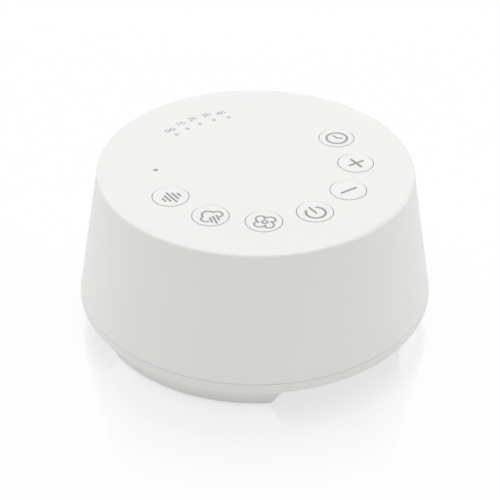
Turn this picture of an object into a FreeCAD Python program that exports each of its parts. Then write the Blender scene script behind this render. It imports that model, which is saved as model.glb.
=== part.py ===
# White noise sound machine: a conical moulded case on three arc feet, seven keys in an arc on the flat
# top, a row of timer lights, and a loudspeaker that fires down through slots in the base.
# Origin at the middle of the resting face, +Z up, the power key toward -Y. Millimetres and degrees.
import FreeCAD
import Part
import Sketcher
import math
import os

Vector = FreeCAD.Vector
Rotation = FreeCAD.Rotation
Placement = FreeCAD.Placement
upAxis = Vector(0, 0, 1)

drivingSizes = [
    # Case
    ("caseHeight", 52.2),
    ("topRadius", 48.1),
    ("seamHeight", 11.3),
    ("seamRadius", 54.75),
    ("shellWall", 2.2),
    ("topWall", 2.4),
    ("topRound", 0.8),
    ("cornerRound", 1.5),
    ("seamRelief", 0.25),
    ("undersideHeight", 7.1),
    ("baseWall", 2.2),
    ("baseRound", 2.5),
    ("lipRise", 2.0),
    ("lipWall", 1.4),
    ("lipGap", 0.15),
    # Feet
    ("footCount", 3),
    ("footFirstAngle", 90),
    ("footStandoff", 0.5),
    ("footInset", 3.03),
    ("footRake", 2.4),
    ("footDepth", 11),
    ("footDraft", 0.5),
    ("footToeRound", 0.4),
    ("footWall", 1.8),
    ("gapToeHalf", 23.7),
    ("gapToeHeight", 1.5),
    ("gapTopHalf", 22.4),
    ("gapFlare", 2.7),
    ("gapToeRound", 3.0),
    ("gapTopRound", 4.0),
    ("cellAngle", 16),
    ("cellOffset", 13),
    ("padMargin", 1.7),
    ("padWidth", 6.8),
    ("padRecess", 0.8),
    ("padAngle", 42),
    ("padAngleFit", 0.3),
    ("padFit", 0.1),
    ("padRound", 0.3),
    # Speaker slots
    ("slotFirstRadius", 5.6),
    ("slotPitch", 4.4),
    ("slotWidth", 2.2),
    ("slotWeb", 2.4),
    ("slotRings", 4),
    ("slotCount", 6),
    # Case screws
    ("caseScrewRing", 43),
    ("caseScrewAngle", -90),
    ("caseScrewSeat", 13),
    ("caseScrewRadius", 1.2),
    ("caseScrewLength", 8),
    ("screwHeadRadius", 2.3),
    ("screwHeadHeight", 1.8),
    ("headGap", 0.3),
    ("headRecess", 3.3),
    ("screwGap", 0.3),
    ("threadFit", 0.05),
    ("shellBossRadius", 3.4),
    ("baseBossRadius", 4.2),
    ("clampGap", 0.1),
    ("ribWidth", 1.6),
    ("ribLowHeight", 22),
    # Keys
    ("keyCount", 7),
    ("keyRing", 30.5),
    ("keySpan", 180),
    ("keyFirstAngle", 180),
    ("keyRadius", 5.4),
    ("keyGap", 0.15),
    ("keyProud", 0.2),
    ("keyEdgeRound", 0.3),
    ("keyFaceWall", 1.4),
    ("keySkirtWall", 1.1),
    ("keyFlange", 1.0),
    ("keyFlangeHeight", 0.8),
    ("keyStemRadius", 1.9),
    ("keyStopGap", 0.1),
    ("collarWall", 1.4),
    ("collarDepth", 1.2),
    # Lights
    ("lightCount", 5),
    ("lightRing", 31),
    ("lightFirstAngle", 71.8),
    ("lightSpan", 36.4),
    ("lightHoleRadius", 0.7),
    ("lightFit", 0.05),
    ("statusRing", 30.3),
    ("statusAngle", 150),
    ("guideWall", 2),
    ("guideBarHeight", 2.4),
    ("guideEndAngle", 3),
    ("guideGap", 0.3),
    ("ledSide", 1.6),
    ("ledHeight", 0.7),
    # Main board
    ("boardHeight", 38.8),
    ("boardWall", 1.6),
    ("boardRadius", 38.5),
    ("boardBossRadius", 2.5),
    ("boardScrewRadius", 0.9),
    ("boardHeadRadius", 1.8),
    ("boardHeadHeight", 1.2),
    ("boardScrewLength", 6),
    ("outerBossRing", 33),
    ("outerBossAngle", 130),
    ("innerBossRing", 18),
    ("innerBossAngle", 240),
    ("switchSide", 6),
    ("switchHeight", 3.5),
    ("plungerRadius", 1.7),
    ("plungerGap", 0.15),
    ("plungerRise", 1.1),
    ("plungerDepth", 1.0),
    ("plungerSeat", 0.7),
    ("chipSide", 9),
    ("chipHeight", 1.2),
    ("chipPlaceY", 8),
    ("capacitorRadius", 2.5),
    ("capacitorLength", 5.5),
    ("capacitorRing", 33),
    ("capacitorAngle", 205),
    ("capacitorStepAngle", 14),
    ("capacitorCount", 2),
    ("plugRing", 32),
    ("plugDepth", 5),
    ("plugWidth", 8),
    ("plugHeight", 4),
    # Speaker
    ("gasketHeight", 2.0),
    ("speakerRadius", 28),
    ("gasketWidth", 2.2),
    ("flangeHeight", 0.9),
    ("flangeWidth", 3.6),
    ("basketWall", 0.8),
    ("basketDepth", 9),
    ("basketStep", 2.6),
    ("basketNeckRadius", 19.6),
    ("basketShelfRadius", 16),
    ("windowWidth", 15),
    ("windowLow", 3.2),
    ("windowHigh", 7.4),
    ("windowRound", 1.2),
    ("windowCount", 4),
    ("windowAngle", 45),
    ("surroundWall", 0.4),
    ("surroundRoll", 1.6),
    ("surroundRound", 0.96),
    ("surroundLip", 1.2),
    ("glueGap", 0.05),
    ("coneWall", 0.5),
    ("coneDepth", 5.8),
    ("coilRadius", 7.3),
    ("formerWall", 0.4),
    ("formerLength", 7.6),
    ("windingWall", 0.4),
    ("windingLength", 3.2),
    ("dustCapRadius", 9),
    ("dustCapDepth", 2),
    ("dustCapCrown", 5),
    ("dustCapRound", 6),
    ("spiderWave", 0.6),
    ("spiderTurns", 3),
    ("coilGap", 0.5),
    ("plateRadius", 18),
    ("frontPlateHeight", 2.5),
    ("magnetHeight", 5),
    ("magnetBore", 9.5),
    ("backPlateHeight", 2.5),
    ("magnetRound", 0.6),
    ("speakerFit", 0.3),
    ("fenceWall", 1.2),
    ("fenceHeight", 1.6),
    ("speakerScrews", 4),
    ("speakerScrewAngle", 45),
    ("speakerBossRadius", 2.4),
    ("speakerScrewRadius", 1.1),
    ("speakerHeadRadius", 3.8),
    ("speakerHeadHeight", 1.4),
    ("speakerScrewDepth", 3.6),
    ("terminalWidth", 6),
    ("terminalHeight", 4),
    ("terminalReach", 2),
    ("terminalSink", 0.2),
    # Cell and power board
    ("tapeHeight", 0.8),
    ("tapeSide", 24),
    ("tapeRound", 2),
    ("cellLength", 50),
    ("cellWidth", 34),
    ("cellHeight", 5.2),
    ("cellRound", 1.6),
    ("powerBoardWidth", 24),
    ("powerBoardLength", 16.5),
    ("powerBoardWall", 1.2),
    ("powerBoardInset", 3.27),
    ("powerPostHeight", 3),
    ("powerPostRadius", 2.4),
    ("powerPostSpread", 8),
    ("powerPostInset", 2.7),
    ("powerRestInset", 2.9),
    ("powerPlugInset", 4.1),
    ("powerScrewLength", 4.6),
    ("socketWidth", 8.94),
    ("socketHeight", 3.26),
    ("socketLength", 7.4),
    ("socketWall", 0.3),
    ("socketInset", 0.5),
    ("socketBack", 1),
    ("socketEndFlat", 0.1),
    ("tongueWidth", 6.7),
    ("tongueHeight", 0.7),
    ("tongueLength", 4.6),
    ("socketGap", 0.3),
    ("portRecess", 0.8),
    ("portMargin", 1.4),
    # Leads
    ("wireRadius", 0.6),
    ("wireSpread", 0.8),
    ("wireLift", 0.2),
    ("bendShare", 0.45),
    ("crossStartShare", 0.35),
    ("crossEndShare", 0.65),
    # How far a cut runs past the face it leaves by, and a pilot past its screw
    ("cutOver", 0.2),
    ("pilotGap", 0.2),
]

doc = FreeCAD.newDocument("soundMachine")
dims = doc.addObject("Spreadsheet::Sheet", "dims")
for row, (alias, number) in enumerate(drivingSizes, start=1):
    dims.set(f"A{row}", alias)
    dims.set(f"B{row}", str(number))
    dims.setAlias(f"B{row}", alias)
doc.recompute()

parts = []


def value(expression):
    return float(dims.evalExpression(str(expression)))


def register(item, label):
    item.Label = label
    parts.append(item)
    return item


# Heights and radii that several pieces share

ceiling = "(dims.caseHeight - dims.topWall)"
floorTop = "(dims.undersideHeight + dims.baseWall)"
boardTop = "(dims.boardHeight + dims.boardWall)"
switchTop = f"({boardTop} + dims.switchHeight)"
ledTop = f"({boardTop} + dims.ledHeight)"
collarLow = f"({ceiling} - dims.collarDepth)"
flangeTop = f"({collarLow} - dims.keyStopGap)"
flare = "((dims.seamRadius - dims.topRadius) / (dims.caseHeight - dims.seamHeight))"
speakerFace = f"({floorTop} + dims.gasketHeight)"
plateLow = f"({speakerFace} + dims.basketDepth)"
magnetLow = f"({plateLow} + dims.frontPlateHeight)"
backPlateLow = f"({magnetLow} + dims.magnetHeight)"
speakerTop = f"({backPlateLow} + dims.backPlateHeight)"
cellLow = f"({speakerTop} + dims.tapeHeight)"
powerBoardLow = f"({floorTop} + dims.powerPostHeight)"
powerBoardTop = f"({powerBoardLow} + dims.powerBoardWall)"
portHeight = f"({powerBoardTop} + dims.socketHeight / 2)"
footStep = "(360 / dims.footCount)"
speakerPostRing = "(dims.speakerRadius + dims.speakerFit + dims.speakerBossRadius)"
speakerFlangeInner = "(dims.speakerRadius - dims.flangeWidth)"
basketWallMiddle = f"(({speakerFlangeInner} + dims.basketNeckRadius) / 2)"


def outerAt(height):
    return f"(dims.seamRadius - {flare} * ({height} - dims.seamHeight))"


def innerAt(height):
    return f"({outerAt(height)} - dims.shellWall)"


def around(radius, angle):
    return f"({radius} * cos({angle}))", f"({radius} * sin({angle}))"


lipTop = "(dims.seamHeight + dims.lipRise)"
lipInner = f"({innerAt(lipTop)} - dims.lipGap - dims.lipWall)"
footTop = f"({outerAt('dims.undersideHeight')} - dims.footInset)"
footToe = f"({footTop} - dims.footRake)"
footInner = f"({footToe} - dims.footDepth)"
padOuter = f"({footToe} - dims.padMargin)"
padInner = f"({padOuter} - dims.padWidth)"
powerBoardBack = f"({lipInner} - dims.powerBoardInset)"
powerBoardFront = f"({powerBoardBack} - dims.powerBoardLength)"
powerPlugPlace = f"({powerBoardFront} + dims.powerPlugInset)"
caseScrewPlace = around("dims.caseScrewRing", "dims.caseScrewAngle")


# Sketch and feature helpers

def newBody(label):
    body = doc.addObject("PartDesign::Body", label)
    body.AllowCompound = True
    return register(body, label)


def originFeature(body, role):
    return next(item for item in body.Origin.OriginFeatures if item.Role == role)


def sketchOn(body, name, role, turn=None, **offsets):
    sketch = body.newObject("Sketcher::SketchObject", name)
    sketch.AttachmentSupport = [(originFeature(body, role), "")]
    sketch.MapMode = "FlatFace"
    if turn is not None:
        sketch.AttachmentOffset = Placement(Vector(), Rotation(Vector(0, 1, 0), value(turn)))
        sketch.setExpression("AttachmentOffset.Rotation.Angle", str(turn))
    for axis, expression in offsets.items():
        sketch.setExpression(f"AttachmentOffset.Base.{axis}", expression)
    return sketch


def pin(sketch, geometry, point, place):
    for kind, axis, expression in zip(("DistanceX", "DistanceY"), (-2, -1), place):
        number = value(expression)
        if str(expression) == "0":
            sketch.addConstraint(Sketcher.Constraint("PointOnObject", geometry, point, axis))
            continue
        index = sketch.addConstraint(Sketcher.Constraint(kind, -1, 1, geometry, point, number))
        sketch.setExpression(f"Constraints[{index}]", str(expression))


def size(sketch, kind, geometry, expression):
    index = sketch.addConstraint(Sketcher.Constraint(kind, geometry, value(expression)))
    sketch.setExpression(f"Constraints[{index}]", str(expression))


def circle(sketch, x, y, radius):
    centre = Vector(value(x), value(y), 0)
    geometry = sketch.addGeometry(Part.Circle(centre, upAxis, value(radius)), False)
    pin(sketch, geometry, 3, (x, y))
    size(sketch, "Radius", geometry, radius)


# A closed outline through corners given as (x, y) or (x, y, rounding radius).
def outline(sketch, corners):
    places = [Vector(value(corner[0]), value(corner[1]), 0) for corner in corners]
    count = len(corners)
    starts = []
    ends = []
    turns = []
    for index, corner in enumerate(corners):
        here = places[index]
        toPrevious = (places[index - 1] - here).normalize()
        toNext = (places[(index + 1) % count] - here).normalize()
        radius = value(corner[2]) if len(corner) > 2 else 0
        reach = radius / math.tan(toPrevious.getAngle(toNext) / 2) if radius else 0
        ends.append(here + toPrevious * reach)
        starts.append(here + toNext * reach)
        turns.append(toPrevious.cross(toNext).z < 0)
    lines = []
    for index in range(count):
        edge = Part.LineSegment(starts[index], ends[(index + 1) % count])
        lines.append(sketch.addGeometry(edge, False))
    for index, corner in enumerate(corners):
        before = lines[index - 1]
        after = lines[index]
        if len(corner) == 2:
            sketch.addConstraint(Sketcher.Constraint("Coincident", before, 2, after, 1))
            pin(sketch, after, 1, corner)
            continue
        radius = value(corner[2])
        toPrevious = ends[index] - places[index]
        toNext = starts[index] - places[index]
        half = toPrevious.getAngle(toNext) / 2
        middle = (toPrevious.normalize() + toNext.normalize()).normalize()
        centre = places[index] + middle * (radius / math.sin(half))
        first, last = (ends[index], starts[index]) if turns[index] else (starts[index], ends[index])
        angles = [math.atan2(point.y - centre.y, point.x - centre.x) for point in (first, last)]
        arc = Part.ArcOfCircle(Part.Circle(centre, upAxis, radius), angles[0], angles[1])
        bend = sketch.addGeometry(arc, False)
        guide = sketch.addGeometry(Part.Point(places[index]), True)
        arcEnds = (1, 2) if turns[index] else (2, 1)
        sketch.addConstraint(Sketcher.Constraint("Tangent", before, 2, bend, arcEnds[0]))
        sketch.addConstraint(Sketcher.Constraint("Tangent", bend, arcEnds[1], after, 1))
        sketch.addConstraint(Sketcher.Constraint("PointOnObject", guide, 1, before))
        sketch.addConstraint(Sketcher.Constraint("PointOnObject", guide, 1, after))
        size(sketch, "Radius", bend, corner[2])
        pin(sketch, guide, 1, corner[:2])


def rectangle(sketch, left, right, low, high, corner=None):
    places = [(left, low), (right, low), (right, high), (left, high)]
    if corner is not None:
        places = [place + (corner,) for place in places]
    outline(sketch, places)


def feature(body, kind, name, sketch, **settings):
    item = body.newObject(f"PartDesign::{kind}", name)
    item.Profile = sketch
    for key, setting in settings.items():
        if isinstance(setting, str) and "dims." in setting:
            item.setExpression(key, setting)
        else:
            setattr(item, key, setting)
    body.Tip = item
    return item


def turned(body, kind, name, sketch, angle=360):
    settings = {"ReferenceAxis": (sketch, ["V_Axis"]), "Angle": angle}
    if angle != 360:
        settings["Midplane"] = True
    return feature(body, kind, name, sketch, **settings)


def patterned(body, name, originals, angle, copies):
    pattern = body.newObject("PartDesign::PolarPattern", name)
    pattern.Originals = originals
    pattern.Axis = (originFeature(body, "Z_Axis"), [""])
    pattern.setExpression("Angle", str(angle))
    pattern.setExpression("Occurrences", copies)
    body.Tip = pattern


def moved(item, x="0", y="0", z="0"):
    for axis, expression in (("x", x), ("y", y), ("z", z)):
        item.setExpression(f"Placement.Base.{axis}", str(expression))
    return item


def spun(item, angle):
    item.Placement = Placement(Vector(), Rotation(upAxis, value(angle)))
    item.setExpression("Placement.Rotation.Angle", str(angle))
    return item


# A solid of revolution from one outline.
def revolvedBody(label, corners):
    body = newBody(label)
    sketch = sketchOn(body, f"{label}_section", "XZ_Plane")
    outline(sketch, corners)
    turned(body, "Revolution", f"{label}_turn", sketch)
    return body


# A box that is centred on its own x and y, with its foot at a height.
def block(label, width, depth, height, x="0", y="0", z="0", corner=None):
    body = newBody(label)
    sketch = sketchOn(body, f"{label}_plan", "XY_Plane")
    rectangle(sketch, f"(-{width} / 2)", f"({width} / 2)", f"(-{depth} / 2)", f"({depth} / 2)", corner)
    feature(body, "Pad", f"{label}_pad", sketch, Length=height)
    return moved(body, x, y, z)


# Top shell

def topShell():
    body = newBody("top_shell")
    section = sketchOn(body, "shell_section", "XZ_Plane")
    aboveSeam = "(dims.seamHeight + dims.seamRelief)"
    outline(section, [
        (innerAt("dims.seamHeight"), "dims.seamHeight"),
        ("(dims.seamRadius - dims.seamRelief)", "dims.seamHeight"),
        (outerAt(aboveSeam), aboveSeam),
        ("dims.topRadius", "dims.caseHeight", "dims.topRound"),
        ("0", "dims.caseHeight"),
        ("0", ceiling),
        (innerAt(ceiling), ceiling, "dims.cornerRound"),
    ])
    turned(body, "Revolution", "shell_turn", section)

    keyX, keyY = around("dims.keyRing", "dims.keyFirstAngle")
    collarPlan = sketchOn(body, "collar_plan", "XY_Plane", z=collarLow)
    circle(collarPlan, keyX, keyY, "(dims.keyRadius + dims.keyGap + dims.collarWall)")
    collar = feature(body, "Pad", "key_collar", collarPlan, Length="dims.collarDepth + dims.topWall / 2")
    patterned(body, "key_collars", [collar], "dims.keySpan", "dims.keyCount")

    bossPlan = sketchOn(body, "board_boss_plan", "XY_Plane", z=boardTop)
    for x, y in boardBossPlaces():
        circle(bossPlan, x, y, "dims.boardBossRadius")
    feature(body, "Pad", "board_bosses", bossPlan, Length=f"{ceiling} - {boardTop} + dims.topWall / 2")

    tip = "(dims.caseScrewSeat + dims.clampGap)"
    columnPlan = sketchOn(body, "case_boss_plan", "XY_Plane", z=tip)
    circle(columnPlan, *caseScrewPlace, "dims.shellBossRadius")
    column = feature(body, "Pad", "case_boss", columnPlan, Length=f"{ceiling} - {tip} + dims.topWall / 2")
    patterned(body, "case_bosses", [column], 360, "dims.footCount")

    ribSection = sketchOn(body, "rib_section", "YZ_Plane")
    outline(ribSection, [
        ("(-dims.caseScrewRing)", "dims.ribLowHeight"),
        ("(-dims.caseScrewRing)", ceiling),
        (f"(-{innerAt(ceiling)} - dims.shellWall / 2)", ceiling),
        (f"(-{innerAt('dims.ribLowHeight')} - dims.shellWall / 2)", "dims.ribLowHeight"),
    ])
    rib = feature(body, "Pad", "case_boss_rib", ribSection, Length="dims.ribWidth", Midplane=True)
    patterned(body, "case_boss_ribs", [rib], 360, "dims.footCount")

    pilotPlan = sketchOn(body, "case_pilot_plan", "XY_Plane", z=tip)
    circle(pilotPlan, *caseScrewPlace, "(dims.caseScrewRadius + dims.threadFit)")
    pilot = feature(body, "Pocket", "case_pilot", pilotPlan, Length="dims.caseScrewLength", Reversed=True)
    patterned(body, "case_pilots", [pilot], 360, "dims.footCount")

    boardPilotPlan = sketchOn(body, "board_pilot_plan", "XY_Plane", z=boardTop)
    for x, y in boardBossPlaces():
        circle(boardPilotPlan, x, y, "(dims.boardScrewRadius + dims.threadFit)")
    feature(body, "Pocket", "board_pilots", boardPilotPlan, Length="dims.boardScrewLength", Reversed=True)

    holePlan = sketchOn(body, "key_hole_plan", "XY_Plane", z="dims.caseHeight")
    circle(holePlan, keyX, keyY, "(dims.keyRadius + dims.keyGap)")
    holeDepth = "dims.topWall + dims.collarDepth + dims.cutOver"
    hole = feature(body, "Pocket", "key_hole", holePlan, Length=holeDepth)
    patterned(body, "key_holes", [hole], "dims.keySpan", "dims.keyCount")

    lightDepth = "dims.topWall + dims.cutOver"
    lightPlan = sketchOn(body, "light_hole_plan", "XY_Plane", z="dims.caseHeight")
    circle(lightPlan, *around("dims.lightRing", "dims.lightFirstAngle"), "dims.lightHoleRadius")
    light = feature(body, "Pocket", "light_hole", lightPlan, Length=lightDepth)
    patterned(body, "light_holes", [light], "dims.lightSpan", "dims.lightCount")
    statusPlan = sketchOn(body, "status_hole_plan", "XY_Plane", z="dims.caseHeight")
    circle(statusPlan, *around("dims.statusRing", "dims.statusAngle"), "dims.lightHoleRadius")
    feature(body, "Pocket", "status_hole", statusPlan, Length=lightDepth)

    recessFace = f"({outerAt(portHeight)} - dims.portRecess)"
    for name, margin, start in (
        ("port_hole", "dims.socketGap", "0"),
        ("port_recess", "dims.portMargin", recessFace),
    ):
        feature(body, "Pocket", name, socketOutline(body, name, margin, start), Length="dims.seamRadius")


# The socket's round-ended outline, grown by a margin, that many millimetres behind the middle.
def socketOutline(body, name, margin, start):
    plan = sketchOn(body, f"{name}_plan", "XZ_Plane", z=f"(-{start})")
    halfWidth = f"(dims.socketWidth / 2 + {margin})"
    halfHeight = f"(dims.socketHeight / 2 + {margin})"
    low = f"({portHeight} - {halfHeight})"
    high = f"({portHeight} + {halfHeight})"
    rectangle(plan, f"(-{halfWidth})", halfWidth, low, high, f"({halfHeight} - dims.socketEndFlat / 2)")
    return plan


def boardBossPlaces():
    outer = ("dims.outerBossRing", "dims.outerBossAngle")
    inner = ("dims.innerBossRing", "dims.innerBossAngle")
    places = []
    for ring, angle in (outer, inner):
        x, y = around(ring, angle)
        places.append((x, y))
        places.append((f"(-{x})", y))
    return places


# Base shell: a dish with a lap lip inside the seam, a foot ring cut into three feet by the gaps, slots
# for the speaker, and bosses and posts for what it carries.

def baseShell():
    body = newBody("base_shell")
    section = sketchOn(body, "dish_section", "XZ_Plane")
    belowSeam = "(dims.seamHeight - dims.seamRelief)"
    outline(section, [
        ("0", "dims.undersideHeight"),
        (outerAt("dims.undersideHeight"), "dims.undersideHeight", "dims.baseRound"),
        (outerAt(belowSeam), belowSeam),
        ("(dims.seamRadius - dims.seamRelief)", "dims.seamHeight"),
        (f"({innerAt('dims.seamHeight')} - dims.lipGap)", "dims.seamHeight"),
        (f"({innerAt(lipTop)} - dims.lipGap)", lipTop),
        (lipInner, lipTop),
        (f"({innerAt('dims.seamHeight')} - dims.lipGap - dims.lipWall)", floorTop, "dims.cornerRound"),
        ("0", floorTop),
    ])
    turned(body, "Revolution", "dish_turn", section)

    footSection = sketchOn(body, "foot_section", "XZ_Plane")
    outline(footSection, [
        (footInner, "(dims.undersideHeight + dims.baseWall / 2)"),
        (f"({footInner} + dims.footDraft)", "dims.footStandoff"),
        (footToe, "dims.footStandoff", "dims.footToeRound"),
        (footTop, "dims.undersideHeight"),
        (footTop, "(dims.undersideHeight + dims.baseWall / 2)"),
    ])
    turned(body, "Revolution", "foot_ring", footSection)

    gapPlan = sketchOn(body, "foot_gap_outline", "XZ_Plane")
    gapFlareHalf = "(dims.gapToeHalf + dims.gapFlare)"
    gapFlareLow = "(dims.gapToeHeight - dims.gapFlare)"
    outline(gapPlan, [
        (f"(-{gapFlareHalf})", gapFlareLow),
        (gapFlareHalf, gapFlareLow),
        ("dims.gapToeHalf", "dims.gapToeHeight", "dims.gapToeRound"),
        ("dims.gapTopHalf", "dims.undersideHeight", "dims.gapTopRound"),
        ("(-dims.gapTopHalf)", "dims.undersideHeight", "dims.gapTopRound"),
        ("(-dims.gapToeHalf)", "dims.gapToeHeight", "dims.gapToeRound"),
    ])
    gap = feature(body, "Pocket", "foot_gap", gapPlan, Length="dims.seamRadius", Reversed=True)
    patterned(body, "foot_gaps", [gap], 360, "dims.footCount")

    fenceSection = sketchOn(body, "speaker_fence_section", "XZ_Plane")
    fenceInner = "(dims.speakerRadius + dims.speakerFit)"
    rectangle(
        fenceSection, fenceInner, f"({fenceInner} + dims.fenceWall)",
        f"({floorTop} - dims.baseWall / 2)", f"({floorTop} + dims.fenceHeight)",
    )
    turned(body, "Revolution", "speaker_fence", fenceSection)

    cells = []
    cellFloor = "(dims.footStandoff + dims.padRecess + dims.footWall)"
    cellMouth = f"({floorTop} + dims.cutOver)"
    for name, sign in (("left_cell", "+"), ("right_cell", "-")):
        side = f"(dims.footFirstAngle {sign} dims.cellOffset)"
        cellSection = sketchOn(body, f"{name}_section", "XZ_Plane", turn=side)
        outline(cellSection, [
            (f"({footInner} + dims.footWall)", cellFloor),
            (f"({footToe} - dims.footWall)", cellFloor),
            (f"({footTop} - dims.footWall - dims.lipWall)", cellMouth),
            (f"({footInner} + dims.footWall)", cellMouth),
        ])
        cells.append(turned(body, "Groove", name, cellSection, "dims.cellAngle"))
    patterned(body, "foot_cells", cells, 360, "dims.footCount")

    recessSection = sketchOn(body, "pad_recess_section", "XZ_Plane", turn="dims.footFirstAngle")
    rectangle(
        recessSection, f"({padInner} - dims.padFit)", f"({padOuter} + dims.padFit)",
        "(dims.footStandoff - dims.cutOver)", "(dims.footStandoff + dims.padRecess)",
    )
    recess = turned(body, "Groove", "pad_recess", recessSection, "dims.padAngle + dims.padAngleFit")
    patterned(body, "pad_recesses", [recess], 360, "dims.footCount")

    for ring in range(int(value("dims.slotRings"))):
        slotInner = f"(dims.slotFirstRadius + {ring} * dims.slotPitch - dims.slotWidth / 2)"
        slotSection = sketchOn(body, f"slot_{ring}_section", "XZ_Plane")
        rectangle(
            slotSection, slotInner, f"({slotInner} + dims.slotWidth)",
            "(dims.undersideHeight - dims.cutOver)", f"({floorTop} + dims.cutOver)",
        )
        middle = f"({slotInner} + dims.slotWidth / 2)"
        slotAngle = f"360 / dims.slotCount - dims.slotWeb / {middle} * 180 / pi"
        slot = turned(body, "Groove", f"slot_{ring}", slotSection, slotAngle)
        patterned(body, f"slots_{ring}", [slot], 360, "dims.slotCount")

    bossPlan = sketchOn(body, "base_boss_plan", "XY_Plane", z="dims.undersideHeight")
    circle(bossPlan, *caseScrewPlace, "dims.baseBossRadius")
    bossLength = "dims.caseScrewSeat - dims.undersideHeight"
    boss = feature(body, "Pad", "base_boss", bossPlan, Length=bossLength)
    headPlan = sketchOn(body, "screw_head_plan", "XY_Plane", z="dims.undersideHeight")
    circle(headPlan, *caseScrewPlace, "(dims.screwHeadRadius + dims.headGap)")
    headHole = feature(body, "Pocket", "screw_head_hole", headPlan, Length="dims.headRecess", Reversed=True)
    shankPlan = sketchOn(body, "screw_shank_plan", "XY_Plane", z="dims.undersideHeight")
    circle(shankPlan, *caseScrewPlace, "(dims.caseScrewRadius + dims.screwGap)")
    shankDepth = f"{bossLength} + dims.cutOver"
    shankHole = feature(body, "Pocket", "screw_shank_hole", shankPlan, Length=shankDepth, Reversed=True)
    patterned(body, "base_bosses", [boss, headHole, shankHole], 360, "dims.footCount")

    postPlan = sketchOn(body, "speaker_post_plan", "XY_Plane", z=f"({floorTop} - dims.baseWall / 2)")
    postPlace = around(speakerPostRing, "dims.speakerScrewAngle")
    circle(postPlan, *postPlace, "dims.speakerBossRadius")
    postLength = "dims.gasketHeight + dims.flangeHeight + dims.baseWall / 2"
    post = feature(body, "Pad", "speaker_post", postPlan, Length=postLength)
    postHolePlan = sketchOn(body, "speaker_pilot_plan", "XY_Plane", z=f"({speakerFace} + dims.flangeHeight)")
    circle(postHolePlan, *postPlace, "(dims.speakerScrewRadius + dims.threadFit)")
    pilotDepth = "dims.speakerScrewDepth + dims.pilotGap"
    postHole = feature(body, "Pocket", "speaker_pilot", postHolePlan, Length=pilotDepth)
    patterned(body, "speaker_posts", [post, postHole], 360, "dims.speakerScrews")

    powerPlan = sketchOn(body, "power_post_plan", "XY_Plane", z=f"({floorTop} - dims.baseWall / 2)")
    for x, y in powerPostPlaces():
        circle(powerPlan, x, y, "dims.powerPostRadius")
    circle(powerPlan, "0", f"({powerBoardBack} - dims.powerRestInset)", "dims.powerPostRadius")
    feature(body, "Pad", "power_posts", powerPlan, Length="dims.powerPostHeight + dims.baseWall / 2")
    powerPilotPlan = sketchOn(body, "power_pilot_plan", "XY_Plane", z=powerBoardLow)
    for x, y in powerPostPlaces():
        circle(powerPilotPlan, x, y, "(dims.boardScrewRadius + dims.threadFit)")
    pilotLength = "dims.powerScrewLength - dims.powerBoardWall + dims.pilotGap"
    feature(body, "Pocket", "power_pilots", powerPilotPlan, Length=pilotLength)


def powerPostPlaces():
    place = f"({powerBoardFront} + dims.powerPostInset)"
    return [("(-dims.powerPostSpread)", place), ("dims.powerPostSpread", place)]


def footPads():
    for index in range(int(value("dims.footCount"))):
        label = f"foot_pad_{index + 1}"
        body = newBody(label)
        section = sketchOn(body, f"{label}_section", "XZ_Plane")
        outline(section, [
            (padInner, "0", "dims.padRound"),
            (padOuter, "0", "dims.padRound"),
            (padOuter, "(dims.footStandoff + dims.padRecess)"),
            (padInner, "(dims.footStandoff + dims.padRecess)"),
        ])
        turned(body, "Revolution", f"{label}_turn", section, "dims.padAngle")
        spun(body, f"(dims.footFirstAngle + {index} * {footStep})")


# Screws: a head and a plain shank, in rings about the middle of the case

def screwBody(label, shank, head, length, headHeight, seat, ring, angle, downward):
    body = newBody(label)
    x, y = around(ring, angle)
    section = sketchOn(body, f"{label}_section", "XZ_Plane", turn=angle, x=x, z=f"-{y}")
    sign = "-" if downward else "+"
    other = "+" if downward else "-"
    outline(section, [
        ("0", f"({seat} {other} {headHeight})"),
        (head, f"({seat} {other} {headHeight})"),
        (head, seat),
        (shank, seat),
        (shank, f"({seat} {sign} {length})"),
        ("0", f"({seat} {sign} {length})"),
    ])
    return body, turned(body, "Revolution", f"{label}_turn", section)


def screws():
    headSeat = "(dims.undersideHeight + dims.headRecess)"
    body, turn = screwBody(
        "case_screws", "dims.caseScrewRadius", "dims.screwHeadRadius", "dims.caseScrewLength",
        "dims.screwHeadHeight", headSeat, "dims.caseScrewRing", "dims.caseScrewAngle", False,
    )
    patterned(body, "case_screw_ring", [turn], 360, "dims.footCount")

    body, turn = screwBody(
        "speaker_screws", "dims.speakerScrewRadius", "dims.speakerHeadRadius", "dims.speakerScrewDepth",
        "dims.speakerHeadHeight", f"({speakerFace} + dims.flangeHeight)", speakerPostRing,
        "dims.speakerScrewAngle", True,
    )
    patterned(body, "speaker_screw_ring", [turn], 360, "dims.speakerScrews")

    boardScrews("board_screws", boardBossPlaces(), "dims.boardHeight", "dims.boardScrewLength", False)
    boardScrews("power_board_screws", powerPostPlaces(), powerBoardTop, "dims.powerScrewLength", True)


# Small screws for the boards, each head on its board and its shank in a boss.
def boardScrews(label, places, seat, length, downward):
    body = newBody(label)
    headPlan = sketchOn(body, f"{label}_head_plan", "XY_Plane", z=seat)
    shankPlan = sketchOn(body, f"{label}_shank_plan", "XY_Plane", z=seat)
    for x, y in places:
        circle(headPlan, x, y, "dims.boardHeadRadius")
        circle(shankPlan, x, y, "dims.boardScrewRadius")
    feature(body, "Pad", f"{label}_heads", headPlan, Length="dims.boardHeadHeight", Reversed=not downward)
    feature(body, "Pad", f"{label}_shanks", shankPlan, Length=length, Reversed=downward)


# Keys

keyNames = ["wave", "rain", "fan", "power", "minus", "plus", "timer"]


def keys():
    count = int(value("dims.keyCount"))
    for index, name in enumerate(keyNames[:count]):
        angle = f"(dims.keyFirstAngle + {index} * dims.keySpan / (dims.keyCount - 1))"
        x, y = around("dims.keyRing", angle)
        moved(keyCap(f"key_{name}"), x, y)
        moved(plunger(f"plunger_{name}"), x, y)


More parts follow.
